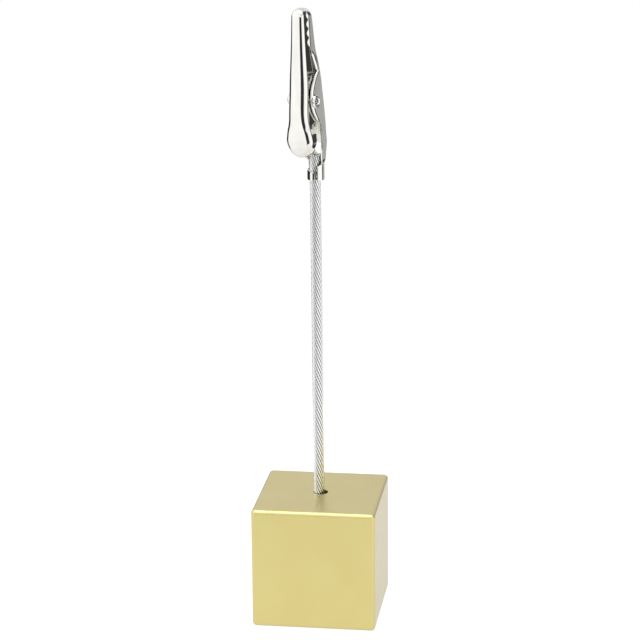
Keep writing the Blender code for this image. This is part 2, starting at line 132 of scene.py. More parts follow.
# Upper jaw, as (height, size) pairs in millimetres
SPOON_BOTTOM_Z = 6.8 * MM
SPOON_RISE = 4.3 * MM
SPOON_HALF_WIDTH = 3.6 * MM
UPPER_NOSE_Z = 40.1 * MM
UPPER_NOSE_RISE = 1.9 * MM
UPPER_HALF_WIDTH = [(11.1, 3.6), (13.3, 3.2), (14.75, 2.8), (16.2, 2.58), (18.3, 2.5),
                    (23.5, 2.45), (29, 2.15), (34.8, 1.85), (40.1, 1.65)]
UPPER_BACK_U = [(6.8, -6.3), (9.5, -6.85), (13, -7.2), (17.5, -7.55), (23.2, -7.3), (34.8, -7.0),
                (40.1, -6.9), (42, -6.45)]
UPPER_CORNER = [(6.8, 1.1), (12, 1.05), (16, 1.15), (23, 1.2), (29, 1.0), (34, 0.88), (40, 0.72)]
UPPER_CORNER_DEPTH = [(6.8, 1.05), (12, 1.3), (16, 1.45), (23, 1.5), (29, 1.25), (34, 1.1), (40, 0.9)]
UPPER_CROWN = [(6.8, 0.12), (12, 0.12), (17, 0.07), (42, 0.05)]
SPOON_RIM_U = [(6.8, -5.1), (9, -4.7), (11, -4.35), (14.1, -3.95)]
LUG_U = -1.5 * MM
LUG_HALF_WIDTH = 1.98 * MM
LUG_OUTLINE_Z = [14.2, 15.9, 24.4, 25.8]
LUG_FADE = 1.8 * MM
JOGGLE_START = 0.02               # shares of the wall over which it steps inwards to the lug
JOGGLE_END = 0.15

# Rivet and spring
HEAD_RADIUS = 1.55 * MM
HEAD_HEIGHT = 1.4 * MM
HEAD_ROUNDING = 0.35 * MM
SHAFT_RADIUS = 0.80 * MM
ROLLED_HEIGHT = 0.45 * MM
ROLLED_RIM = 0.15 * MM
ROLLED_LIP = 0.45 * MM
BORE_DEPTH = 0.9 * MM
BORE_CONE = 0.2 * MM
EAR_OUTER = 2.85 * MM
RIVET_GAP = 0.04 * MM
SPRING_WIRE_RADIUS = 0.25 * MM
SPRING_COIL_RADIUS = 1.2 * MM
SPRING_TURNS = 4
SPRING_HALF_WIDTH = 1.1 * MM
WEB_ARM_ANGLE = math.radians(-60)
SPOON_ARM_ANGLE = math.radians(-145)
WEB_ARM_END = (-SPRING_HALF_WIDTH, 0.25 * MM, 12.6 * MM)
SPOON_ARM_END = (SPRING_HALF_WIDTH, -6.35 * MM, 11.6 * MM)

# Camera
CAMERA_PLACE = (0.07994, -0.56542, 0.23801)
CAMERA_AZIMUTH = math.radians(8.034)
CAMERA_ELEVATION = math.radians(16.044)
CAMERA_ROLL = math.radians(-0.475)
FOCAL_LENGTH = 139.1              # in the same unit as the sensor's width
SENSOR_WIDTH = 36

# Light and floor
OVERHEAD_PLACE = (0.02, -0.14, 0.55)
OVERHEAD_AIM = (0, 0, 0.03)
OVERHEAD_SIZE = (0.6, 0.2)
OVERHEAD_POWER = 2.1
FLOOR_RADIUS = 0.2
FLOOR_AHEAD = 0.04                # how far the floor's centre lies in front of the cube's
BRIGHTEST_FLOOR = 1.03

# Mesh fineness
ROPE_SIDES = 14
ROPE_POINTS_A_TURN = 44
SPRING_SIDES = 16
SPRING_POINTS_A_TURN = 40
SPRING_ARM_POINTS = 11
EDGE_SEGMENTS = 8
BORE_SIDES = 96
RIVET_SIDES = 64
HEAD_STEPS = 8
LIP_STEPS = 14
MERGE_DISTANCE = 0.002 * MM
ROUND_OFF = 1e-6
ROW_STEP = 0.22 * MM
BACK_STEPS = 8
ARC_STEPS = 7
WALL_STEPS = 16
NOSE_STEPS = 14
RIM_STEPS = 5

# Places
STEM_FRAME = (Matrix.Translation((-STEM_SHIFT, 0, CUBE_TOP))
              @ Matrix.Rotation(-STEM_LEAN, 4, "Y"))
CLIP_FRAME = (STEM_FRAME @ Matrix.Translation((0, 0, CLIP_BASE))
              @ Matrix.Rotation(CLIP_TURN, 4, "Z"))


# ---------------------------------------------------------------- camera, light, floor

def make_camera():
    """A long lens, a little above the cube and a little to its right."""
    level = Vector((math.cos(CAMERA_AZIMUTH), math.sin(CAMERA_AZIMUTH), 0))
    forward = Vector((-math.sin(CAMERA_AZIMUTH), math.cos(CAMERA_AZIMUTH), 0))
    back = Vector((0, 0, math.sin(CAMERA_ELEVATION))) - forward * math.cos(CAMERA_ELEVATION)
    upright = back.cross(level)
    right = math.cos(CAMERA_ROLL) * level + math.sin(CAMERA_ROLL) * upright
    up = math.cos(CAMERA_ROLL) * upright - math.sin(CAMERA_ROLL) * level
    turn = Matrix((right, up, back)).transposed()
    data = bpy.data.cameras.new("camera")
    data.sensor_width = SENSOR_WIDTH
    data.lens = FOCAL_LENGTH
    data.clip_start = 0.01
    camera = bpy.data.objects.new("camera", data)
    camera.matrix_world = Matrix.Translation(CAMERA_PLACE) @ turn.to_4x4()
    bpy.context.scene.collection.objects.link(camera)
    bpy.context.scene.camera = camera


def colour_ramp(tree, stops, factor):
    """A colour ramp through (position, brightness or colour) stops."""
    node = tree.nodes.new("ShaderNodeValToRGB")
    elements = node.color_ramp.elements
    while len(elements) > 1:
        elements.remove(elements[-1])
    for i, (position, value) in enumerate(stops):
        element = elements[0] if i == 0 else elements.new(position)
        element.position = position
        colour = value if isinstance(value, tuple) else (value, value, value)
        element.color = (*colour, 1)
    tree.links.new(factor, node.inputs["Fac"])
    return node.outputs["Color"]


def math_node(tree, operation, first, second):
    """The result of an operation on two values, each a socket or a plain number."""
    node = tree.nodes.new("ShaderNodeMath")
    node.operation = operation
    for socket, value in zip(node.inputs, (first, second)):
        if isinstance(value, (int, float)):
            socket.default_value = value
        else:
            tree.links.new(value, socket)
    return node.outputs["Value"]


# The tent's rings from the bottom up. Each starts between two elevations in degrees, over which
# it takes over from the ring below, and has (degrees from the front towards the right,
# brightness) stops, which were chosen one by one. The clip mirrors mostly the lower ones: panels
# on both sides, an unlit opening at the lens between them, and unlit gaps behind.
RINGS = [
    (None, [(-180, 0.3), (-110, 0.3), (-86, 0.3), (-78, 1.4), (-48, 1.4), (-41, 0.05), (25, 0.05),
            (33, 1.5), (98, 1.6), (104, 0.06), (150, 0.06), (180, 0.3)]),
    ((-23, -20), [(-180, 0.4), (-174, 0.04), (-85, 0.04), (-79, 1.1), (-74, 1.5), (-49, 1.45),
                  (-41, 0.05), (26, 0.03), (35, 1.3), (50, 1.5), (98, 1.6), (104, 0.06),
                  (114, 0.05), (117, 0.6), (160, 0.55), (167, 0.9), (177, 0.9), (180, 0.4)]),
    ((-2, 3), [(-180, 0.95), (-110, 0.9), (-80, 1.5), (-50, 1.5), (20, 1.25), (50, 1.5), (98, 1.5),
               (103, 0.07), (124, 0.07), (129, 0.5), (150, 0.5), (168, 0.95), (180, 0.95)]),
    ((10, 15), [(-180, 0.95), (-80, 1.5), (-50, 1.5), (0, 1.3), (20, 1.1), (94, 1.1), (100, 0.08),
                (124, 0.08), (129, 0.9), (180, 0.95)]),
    ((32, 44), [(-180, 1.0), (-80, 1.4), (20, 1.3), (90, 1.1), (180, 1.0)]),
]


def ring_height(degrees):
    """An elevation as the share of the way from straight down to straight up that its sine makes."""
    return math.sin(math.radians(degrees)) / 2 + 0.5


def tent_ring(tree, turn, stops):
    """The colour of one of the tent's rings, whose brightness may pass 1."""
    brightest = max(value for _, value in stops)
    scaled = tree.nodes.new("ShaderNodeVectorMath")
    scaled.operation = "SCALE"
    scaled.inputs["Scale"].default_value = brightest
    shares = [(angle / 360 + 0.5, value / brightest) for angle, value in stops]
    tree.links.new(colour_ramp(tree, shares, turn), scaled.inputs[0])
    return scaled.outputs["Vector"]


def mixed(tree, factor, first, second):
    """A colour mix whose second input may be a socket or a plain brightness."""
    mix = tree.nodes.new("ShaderNodeMix")
    mix.data_type = "RGBA"
    tree.links.new(factor, mix.inputs["Factor"])
    tree.links.new(first, mix.inputs["A"])
    if isinstance(second, (int, float)):
        mix.inputs["B"].default_value = (second, second, second, 1)
    else:
        tree.links.new(second, mix.inputs["B"])
    return mix.outputs["Result"]


def make_tent():
    """A light tent with unlit gaps, which the camera itself sees as plain white."""
    world = bpy.data.worlds.new("light_tent")
    world.use_nodes = True
    bpy.context.scene.world = world
    tree = world.node_tree
    tree.nodes.clear()
    direction = tree.nodes.new("ShaderNodeTexCoord").outputs["Generated"]
    parts = tree.nodes.new("ShaderNodeSeparateXYZ")
    tree.links.new(direction, parts.inputs["Vector"])
    x, y, z = parts.outputs
    angle = math_node(tree, "ARCTAN2", x, math_node(tree, "MULTIPLY", y, -1))
    turn = math_node(tree, "ADD", math_node(tree, "MULTIPLY", angle, 0.5 / math.pi), 0.5)
    height = math_node(tree, "ADD", math_node(tree, "MULTIPLY", z, 0.5), 0.5)
    walls = tent_ring(tree, turn, RINGS[0][1])
    for (start, end), stops in RINGS[1:]:
        reached = colour_ramp(tree, [(ring_height(start), 0), (ring_height(end), 1)], height)
        walls = mixed(tree, reached, walls, tent_ring(tree, turn, stops))
    light_path = tree.nodes.new("ShaderNodeLightPath")
    seen = mixed(tree, light_path.outputs["Is Camera Ray"], walls, 1.0)
    background = tree.nodes.new("ShaderNodeBackground")
    tree.links.new(seen, background.inputs["Color"])
    output = tree.nodes.new("ShaderNodeOutputWorld")
    tree.links.new(background.outputs["Background"], output.inputs["Surface"])
    bpy.context.scene.view_settings.view_transform = "Standard"


def make_overhead_light():
    """A soft box above and in front of the cube, aimed at it."""
    data = bpy.data.lights.new("overhead", "AREA")
    data.shape = "RECTANGLE"
    data.size, data.size_y = OVERHEAD_SIZE
    data.energy = OVERHEAD_POWER
    light = bpy.data.objects.new("overhead", data)
    light.location = OVERHEAD_PLACE
    aim = Vector(OVERHEAD_AIM) - Vector(OVERHEAD_PLACE)
    light.rotation_euler = aim.to_track_quat("-Z", "Y").to_euler()
    bpy.context.scene.collection.objects.link(light)


def make_floor():
    """Grey paper with a painted white glow, brighter towards its edge than round the cube."""
    shape = bmesh.new()
    bmesh.ops.create_circle(shape, cap_ends=True, segments=96, radius=FLOOR_RADIUS,
                            matrix=Matrix.Translation((0, -FLOOR_AHEAD, 0)))
    floor = new_object("floor", shape)
    material, tree, shader = new_material("paper_with_painted_glow", 0.8, 0.0)
    grain = noise(tree, 2.5 * MM, detail=3.0)
    tone = colour_ramp(tree, [(0.3, 0.14), (0.7, 0.16)], grain)
    tree.links.new(tone, shader.inputs["Base Color"])
    # Painted glow: the floor gives off its own light, weaker round the cube and stronger towards its
    # edge.
    shader.inputs["Emission Color"].default_value = (1, 1, 1, 1)
    place = tree.nodes.new("ShaderNodeTexCoord").outputs["Object"]
    away = tree.nodes.new("ShaderNodeVectorMath")
    away.operation = "LENGTH"
    tree.links.new(place, away.inputs[0])
    share = math_node(tree, "MULTIPLY", away.outputs["Value"], 1 / FLOOR_RADIUS)
    glow = colour_ramp(tree, [(0.3, 0.86), (0.9, 1.0)], share)
    strength = math_node(tree, "MULTIPLY", glow, BRIGHTEST_FLOOR)
    tree.links.new(strength, shader.inputs["Emission Strength"])
    floor.data.materials.append(material)


# ---------------------------------------------------------------- materials

def new_material(name, roughness, metallic):
    """A material, its node tree and its shader."""
    material = bpy.data.materials.new(name)
    material.use_nodes = True
    shader = material.node_tree.nodes["Principled BSDF"]
    shader.inputs["Roughness"].default_value = roughness
    shader.inputs["Metallic"].default_value = metallic
    return material, material.node_tree, shader


def noise(tree, size, stretch=(1, 1, 1), detail=2.0):
    """Noise whose grains are about size metres wide, stretched along each axis."""
    place = tree.nodes.new("ShaderNodeTexCoord").outputs["Object"]
    mapping = tree.nodes.new("ShaderNodeMapping")
    mapping.inputs["Scale"].default_value = [1 / s for s in stretch]
    tree.links.new(place, mapping.inputs["Vector"])
    node = tree.nodes.new("ShaderNodeTexNoise")
    node.inputs["Scale"].default_value = 1 / size
    node.inputs["Detail"].default_value = detail
    tree.links.new(mapping.outputs["Vector"], node.inputs["Vector"])
    return node.outputs["Fac"]


def add_bump(tree, shader, height, depth):
    """Relief of the given depth in metres, from a height socket."""
    bump = tree.nodes.new("ShaderNodeBump")
    bump.inputs["Distance"].default_value = depth
    bump.inputs["Strength"].default_value = 1
    tree.links.new(height, bump.inputs["Height"])
    tree.links.new(bump.outputs["Normal"], shader.inputs["Normal"])


def anodised_gold():
    """Bead-blasted aluminium under a pale gold anodic film."""
    material, tree, shader = new_material("satin_gold_anodised", 0.4, 1.0)
    shader.inputs["Specular Tint"].default_value = (0.80, 0.815, 1.0, 1)
    shader.inputs["Sheen Weight"].default_value = 0.12
    shader.inputs["Sheen Roughness"].default_value = 0.3
    cloud = noise(tree, 9 * MM, detail=3.0)
    colour = colour_ramp(tree, [(0.3, (0.605, 0.52, 0.215)), (0.7, (0.62, 0.54, 0.228))], cloud)
    tree.links.new(colour, shader.inputs["Base Color"])
    grain = noise(tree, 0.11 * MM, detail=3.0)
    rough = colour_ramp(tree, [(0.3, 0.31), (0.7, 0.39)], grain)
    tree.links.new(rough, shader.inputs["Roughness"])
    add_bump(tree, shader, grain, 0.004 * MM)
    return material


def drawn_steel(name, bright, dull, roughness):
    """Drawn wire: faint lines along the wire, which runs mostly upwards."""
    material, tree, shader = new_material(name, roughness, 1.0)
    lines = noise(tree, 0.05 * MM, stretch=(1, 1, 24), detail=2.0)
    colour = colour_ramp(tree, [(0.3, dull), (0.65, bright)], lines)
    tree.links.new(colour, shader.inputs["Base Color"])
    rough = colour_ramp(tree, [(0.3, roughness + 0.06), (0.7, roughness - 0.04)], lines)
    tree.links.new(rough, shader.inputs["Roughness"])
    add_bump(tree, shader, lines, 0.002 * MM)
    return material


def nickel_plate(name, low, high, roughness):
    """Nickel on pressed steel: a long soft ripple from the press, and fine polishing lines."""
    material, tree, shader = new_material(name, roughness, 1.0)
    cloud = noise(tree, 2.5 * MM, stretch=(1, 1, 2), detail=3.0)
    colour = colour_ramp(tree, [(0.3, low), (0.7, high)], cloud)
    tree.links.new(colour, shader.inputs["Base Color"])
    lines = noise(tree, 0.07 * MM, stretch=(1, 1, 14), detail=3.0)
    rough = colour_ramp(tree, [(0.35, roughness - 0.03), (0.7, roughness + 0.05)], lines)
    tree.links.new(rough, shader.inputs["Roughness"])
    ripple = noise(tree, 1.3 * MM, stretch=(1, 1, 2.5), detail=1.0)
    height = math_node(tree, "ADD", ripple, math_node(tree, "MULTIPLY", lines, 0.03))
    add_bump(tree, shader, height, 0.012 * MM)
    return material


def adhesive_with_painted_hole_shade():
    """Lumpy resin, seen only down the hole. Its dark tone is partly its own colour and partly painted
    shade for the hole.
    """
    material, tree, shader = new_material("adhesive_with_painted_hole_shade", 0.45, 0.0)
    lumps = noise(tree, 0.6 * MM, detail=4.0)
    # Dark tone: partly the resin's own colour, partly painted shade that stands in for the shade down
    # the hole.
    colour = colour_ramp(tree, [(0.3, (0.10, 0.085, 0.05)), (0.7, (0.2, 0.18, 0.12))], lumps)
    tree.links.new(colour, shader.inputs["Base Color"])
    add_bump(tree, shader, lumps, 0.08 * MM)
    return material


# ---------------------------------------------------------------- mesh helpers

def smooth_curve(pairs):
    """A smooth function of height through (height, size) pairs, both given in millimetres."""
    xs = [x * MM for x, _ in pairs]
    ys = [y * MM for _, y in pairs]
    slopes = [(ys[i + 1] - ys[i]) / (xs[i + 1] - xs[i]) for i in range(len(xs) - 1)]
    tangents = [slopes[0]]
    for before, after in zip(slopes, slopes[1:]):
        same_way = before * after > 0
        tangents.append(2 * before * after / (before + after) if same_way else 0)
    tangents.append(slopes[-1])

    def value(x):
        x = min(max(x, xs[0]), xs[-1])
        i = max(k for k in range(len(xs) - 1) if xs[k] <= x)
        span = xs[i + 1] - xs[i]
        t = (x - xs[i]) / span
        return ((1 + 2 * t) * (1 - t) ** 2 * ys[i] + t * (1 - t) ** 2 * span * tangents[i]
                + t * t * (3 - 2 * t) * ys[i + 1] + t * t * (t - 1) * span * tangents[i + 1])

    return value


def ramp(x, start, end):
    """0 at start and 1 at end, eased at both."""
    t = min(max((x - start) / (end - start), 0), 1)
    return t * t * (3 - 2 * t)


def new_object(name, shape):
    """Turns a bmesh into an object in the scene."""
    mesh = bpy.data.meshes.new(name)
    shape.to_mesh(mesh)
    shape.free()
    made = bpy.data.objects.new(name, mesh)
    bpy.context.scene.collection.objects.link(made)
    return made


def add_piece(name, shape, place, material, body, slot_name, *nodes):
    """Turns a bmesh into a piece that stands for CAD nodes, and rides on a body if one is given."""
    piece = new_object(name, shape)
    piece.data.transform(place)
    piece.data.materials.append(material)
    piece.data.shade_smooth()
    if body is not None:
        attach(piece, body)
    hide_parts(*nodes)
    return piece


def circle_points(sides):
    """The cosine and sine of each of a circle's evenly spaced angles."""
    return [(math.cos(2 * math.pi * k / sides), math.sin(2 * math.pi * k / sides))
            for k in range(sides)]


def tube(points, radius, sides):
    """A round wire through points, with slightly rounded ends."""
    last = len(points) - 1
    tangents = [(points[min(i + 1, last)] - points[max(i - 1, 0)]).normalized()
                for i in range(last + 1)]
    ease = 0.25 * radius
    stations = [(points[0], tangents[0], radius - ease),
                (points[0] + tangents[0] * ease, tangents[0], radius)]
    stations += [(points[i], tangents[i], radius) for i in range(1, last)]
    stations += [(points[-1] - tangents[-1] * ease, tangents[-1], radius),
                 (points[-1], tangents[-1], radius - ease)]
    shape = bmesh.new()
    side = tangents[0].orthogonal().normalized()
    rings = []
    for centre, tangent, size in stations:
        side = (side - tangent * side.dot(tangent)).normalized()
        other = tangent.cross(side)
        rings.append([shape.verts.new(centre + size * (side * across + other * along))
                      for across, along in circle_points(sides)])
    for lower, upper in zip(rings, rings[1:]):
        for k in range(sides):
            n = (k + 1) % sides
            shape.faces.new((lower[k], lower[n], upper[n], upper[k]))
    shape.faces.new(rings[0][::-1])
    shape.faces.new(rings[-1])
    return shape


def turned(profile, sides):
    """A closed solid turned about Z from (radius, height) points that start and end on Z."""
    shape = bmesh.new()
    rings = []
    for radius, height in profile:
        if radius == 0:
            rings.append([shape.verts.new((0, 0, height))])
        else:
            rings.append([shape.verts.new((radius * x, radius * y, height))
                          for x, y in circle_points(sides)])
    for lower, upper in zip(rings, rings[1:]):
        for k in range(sides):
            n = (k + 1) % sides
            if len(lower) == 1:
                shape.faces.new((lower[0], upper[n], upper[k]))
            elif len(upper) == 1:
                shape.faces.new((lower[k], lower[n], upper[0]))
            else:
                shape.faces.new((lower[k], lower[n], upper[n], upper[k]))
    return shape


def grid_surface(rows):
    """An open sheet through rows of as many points each."""
    shape = bmesh.new()
    grid = [[shape.verts.new(p) for p in row] for row in rows]
    for lower, upper in zip(grid, grid[1:]):
        for j in range(len(lower) - 1):
            shape.faces.new((lower[j], lower[j + 1], upper[j + 1], upper[j]))
    bmesh.ops.remove_doubles(shape, verts=shape.verts, dist=MERGE_DISTANCE)
    return shape


def punch(shape, centre, axis, radius, on_wall):
    """A round hole: faces inside the circle go, and its border is drawn onto the circle."""
    others = [k for k in range(3) if k != axis]

    def offset(place):
        return Vector([place[k] - centre[k] for k in others])

    inside = [f for f in shape.faces
              if offset(f.calc_center_median()).length < radius and on_wall(f.calc_center_median())]
    border = {v for f in inside for v in f.verts if any(g not in inside for g in v.link_faces)}
    for vert in border:
        away = offset(vert.co).normalized() * radius
        for k, value in zip(others, away):
            vert.co[k] = centre[k] + value
    bmesh.ops.delete(shape, geom=inside, context="FACES")


def away_from_sheet(border):
    """The sum of the directions in which each border vertex's border edges face away."""
    directions = {}
    for edge in border:
        face = edge.link_faces[0]
        first, second = edge.verts
        away = (second.co - first.co).normalized().cross(face.normal)
        if away.dot((first.co + second.co) / 2 - face.calc_center_median()) < 0:
            away.negate()
        for vert in edge.verts:
            directions[vert] = directions.get(vert, Vector()) + away
    return directions


def rim_section(shape, vert, inner, away):
    """The vertices of a rounded rim's section, from a vertex to its inner one."""
    section = [vert]
    for k in range(1, RIM_STEPS + 1):
        a = math.pi * k / (RIM_STEPS + 1)
        cosine = math.cos(a)
        depth = (1 - math.copysign(abs(cosine) ** RIM_SQUARENESS, cosine)) / 2
        centre = vert.co.lerp(inner.co, depth)
        section.append(shape.verts.new(centre + away * math.sin(a) ** RIM_SQUARENESS))
    section.append(inner)
    return section


def thicken(shape, thickness, rounding):
    """Gives an open sheet its thickness, inwards from its faces' outer side, with rounded rims."""
    shape.normal_update()
    faces = list(shape.faces)
    inner = {v: shape.verts.new(v.co - v.normal * thickness) for v in list(shape.verts)}
    border = [e for e in shape.edges if len(e.link_faces) == 1]
    directions = away_from_sheet(border)
    for face in faces:
        shape.faces.new([inner[v] for v in reversed(face.verts)]).material_index = 1
    rims = {}
    for vert, away in directions.items():
        level = away - vert.normal * away.dot(vert.normal)
        rims[vert] = rim_section(shape, vert, inner[vert], level.normalized() * rounding)
    for edge in border:
        corner = next(c for c in edge.link_faces[0].loops if c.edge == edge)
        first, second = rims[corner.link_loop_next.vert], rims[corner.vert]
        for k in range(RIM_STEPS + 1):
            shape.faces.new((first[k], second[k], second[k + 1], first[k + 1]))
    bmesh.ops.recalc_face_normals(shape, faces=shape.faces)


# ---------------------------------------------------------------- cube and stem

def make_bore():
    """The cutter of the stem's hole, with the hole's chamfer."""
    eased = CHAMFER_EASE * HOLE_CHAMFER
    mouth = HOLE_RADIUS + HOLE_CHAMFER
    profile = [(0, -HOLE_DEPTH), (HOLE_RADIUS, -HOLE_DEPTH), (HOLE_RADIUS, -HOLE_CHAMFER),
               (HOLE_RADIUS + eased, -eased), (mouth, 0), (mouth, MM), (0, MM)]
    bore = new_object("bore", turned(profile, BORE_SIDES))
    bore.location = (0, 0, CUBE_TOP)
    return bore


def make_cube():
    """The cube with rounded edges, and a lightly chamfered hole for the stem."""
    shape = bmesh.new()
    bmesh.ops.create_cube(shape, size=1)
    size = CUBE_HIGH - CUBE_LOW
    middle = (CUBE_HIGH + CUBE_LOW) / 2
    bmesh.ops.transform(shape, matrix=Matrix.Translation(middle) @ Matrix.Diagonal((*size, 1)),
                        verts=shape.verts)
    bmesh.ops.bevel(shape, geom=shape.edges[:], offset=EDGE_RADIUS, segments=EDGE_SEGMENTS,
                    profile=0.5, affect="EDGES")
    block = new_object("block", shape)
    bore = make_bore()
    boolean = block.modifiers.new("bore", "BOOLEAN")
    boolean.operation = "DIFFERENCE"
    boolean.object = bore
    graph = bpy.context.evaluated_depsgraph_get()
    shape = bmesh.new()
    shape.from_mesh(bpy.data.meshes.new_from_object(block.evaluated_get(graph)))
    bpy.data.objects.remove(block)
    bpy.data.objects.remove(bore)
    piece = add_piece("cube_body", shape, Matrix(), GOLD, "holder", "gold_anodised", "base_cube")
    piece.data.set_sharp_from_angle(angle=math.radians(30))
    flatten = piece.modifiers.new("flat_faces", "WEIGHTED_NORMAL")
    flatten.keep_sharp = True


def make_rope():
    """The outer wires, laid left-handed. The hidden inner wires stay as CAD made them."""
    length = STEM_TOP - STEM_BOTTOM
    steps = math.ceil(length / ROPE_LAY * ROPE_POINTS_A_TURN)
    for i in range(OUTER_WIRES):
        start = 2 * math.pi * i / OUTER_WIRES
        points = []
        for k in range(steps + 1):
            z = STEM_BOTTOM + length * k / steps
            angle = start - 2 * math.pi * z / ROPE_LAY
            points.append(Vector((OUTER_CIRCLE_RADIUS * math.cos(angle),
                                  OUTER_CIRCLE_RADIUS * math.sin(angle), z)))
        wire = tube(points, OUTER_WIRE_RADIUS, ROPE_SIDES)
        add_piece(f"stem_outer_wire_{i + 1:02d}", wire, STEM_FRAME, ROPE_STEEL, "holder",
                  "rope_wire", f"rope_outer_wire_{i + 1:02d}")


def dress(node, material):
    """Gives a CAD node that stays visible its material."""
    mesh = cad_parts[node].data
    mesh.materials.clear()
    mesh.materials.append(material)


# ---------------------------------------------------------------- jaws

def filled(heights, step):
    """The heights, with more between them so that none are further apart than step."""
    heights = sorted(set(heights))
    result = [heights[0]]
    for low, high in zip(heights, heights[1:]):
        count = max(1, math.ceil((high - low) / step - ROUND_OFF))
        result += [low + (high - low) * k / count for k in range(1, count + 1)]
    return result


def outline_normals(outline, closed_start):
    """Outward normals of the +V side of an outline that ends on its centre line."""
    normals = []
    last = len(outline) - 1
    for i, (v, z, _) in enumerate(outline):
        after = outline[i + 1] if i < last else (-outline[i - 1][0], outline[i - 1][1])
        if i > 0:
            before = outline[i - 1]
        else:
            before = (-outline[1][0], outline[1][1]) if closed_start else (v, z - MM)
        across, along = after[0] - before[0], after[1] - before[1]
        size = math.hypot(across, along)
        normals.append((along / size, -across / size))
    return normals


def round_end(half_width, straight_end, rise):
    """The last quarter of an outline, from its straight side to its centre line."""
    points = []
    for k in range(NOSE_STEPS + 1):
        a = math.pi / 2 * k / NOSE_STEPS
        points.append((half_width * math.cos(a), straight_end + rise * math.sin(a), straight_end))
    return points


def channel_half(v, z, middle_z, normal, back, corner, depth, edge_u, direction, flare=0.0,
                 crown=0.0, tuck=0.0, curl=None):
    """Half a row of a channel, as (V, U, Z) points from its middle to its free edge.

    curl gives the U where the wall starts to curl inwards, and the curl's amount and depth.
    """
    nv, nz = normal
    start_v = v - nv * corner
    start_z = z - nz * corner
    points = []
    for k in range(BACK_STEPS):
        t = k / BACK_STEPS
        row_z = middle_z + (start_z - middle_z) * t
        rise = crown * (1 - t * t) ** 2
        points.append(Vector((start_v * t, back(row_z) - direction * rise, row_z)))
    for k in range(ARC_STEPS + 1):
        a = math.pi / 2 * k / ARC_STEPS
        inset = corner * (1 - math.sin(a))
        row_z = z - nz * inset
        u = back(row_z) + direction * depth * (1 - math.cos(a))
        points.append(Vector((v - nv * inset, u, row_z)))
    wall_u = back(z) + direction * depth
    for k in range(1, WALL_STEPS + 1):
        t = k / WALL_STEPS
        u = wall_u + (edge_u - wall_u) * t
        wall_v = v - tuck * ramp(t, JOGGLE_START, JOGGLE_END) + flare * abs(u - wall_u)
        if curl is not None:
            curl_u, amount, curl_depth = curl
            wall_v -= amount * (max(curl_u - u, 0) / curl_depth) ** 2
        points.append(Vector((wall_v, u, z)))
    return points


def joined_row(far, near):
    """A whole row from its two halves, both given on the +V side."""
    mirrored = [Vector((-p.x, p.y, p.z)) for p in far]
    return mirrored[:0:-1] + near


def tooth_heights():
    """The heights of the roots and tips up to the nose, where its own rows take over."""
    return [FIRST_TOOTH_Z + k * TOOTH_PITCH / 2 for k in range(2 * TOOTH_COUNT - 2)]


def tooth_edge(z):
    """U of the lower jaw's free edge in the toothed stretch: round lobes with sharp roots."""
    phase = (z - FIRST_TOOTH_Z) / TOOTH_PITCH
    fraction = abs(2 * (phase - math.floor(phase)) - 1)
    return TOOTH_LINE_U - TOOTH_HEIGHT * (1 - fraction ** TOOTH_ROUNDNESS)


def lower_edge(z):
    """U of the lower jaw's free edges: trough, ear, waist and teeth."""
    ear_start = EAR_CENTRE_Z - EAR_HALF_CHORD
    ear_end = EAR_CENTRE_Z + EAR_HALF_CHORD
    if z < ear_start:
        return TROUGH_EDGE_U - TROUGH_EDGE_DROP * ramp(z, *TROUGH_DROP_Z)
    if z <= ear_end:
        return EAR_CENTRE_U - math.sqrt(EAR_RADIUS ** 2 - (z - EAR_CENTRE_Z) ** 2)
    if z < FIRST_TOOTH_Z:
        return WAIST_U + (TOOTH_LINE_U - WAIST_U) * (z - ear_end) / (FIRST_TOOTH_Z - ear_end)
    return tooth_edge(z)


def lower_curl(z):
    """Where and how far the lower jaw's walls curl in, from the ears' feet to the teeth."""
    ear_start = EAR_CENTRE_Z - EAR_HALF_CHORD
    teeth_start = FIRST_TOOTH_Z - TOOTH_PITCH / 2
    if z < ear_start:
        return None
    if z > teeth_start:
        return TOOTH_LINE_U + CURL_START, TOOTH_CURL, CURL_DEPTH
    fade = 2 * EAR_CURL_DEPTH
    amount = EAR_CURL * ramp(z, ear_start, ear_start + fade) * ramp(z, teeth_start, teeth_start - fade)
    return lower_edge(z) + EAR_CURL_DEPTH, amount, EAR_CURL_DEPTH


def rolled_half(points, z, side):
    """Bends the foot of the lower jaw's channel round the rope, as the crimp does."""
    share = ramp(z, *BARREL_END_Z)
    if share == 0:
        return points
    tab_angle, tab_z = (NEAR_TAB_ANGLE, NEAR_TAB_Z) if side > 0 else (FAR_TAB_ANGLE, FAR_TAB_Z)
    wrap = OPEN_ANGLE + (tab_angle - OPEN_ANGLE) * ramp(z, *tab_z)
    lengths = [0.0]
    for before, after in zip(points, points[1:]):
        lengths.append(lengths[-1] + (after - before).length)
    rolled = []
    for point, length in zip(points, lengths):
        part = length / lengths[-1]
        a = wrap * part
        barrel_v = side * BARREL_CENTRE * part + BARREL_RADIUS * math.sin(a)
        barrel_u = BARREL_CENTRE + BARREL_RADIUS * math.cos(a)
        rolled.append(Vector((point.x + (barrel_v - point.x) * share,
                              point.y + (barrel_u - point.y) * share, point.z)))
    return rolled


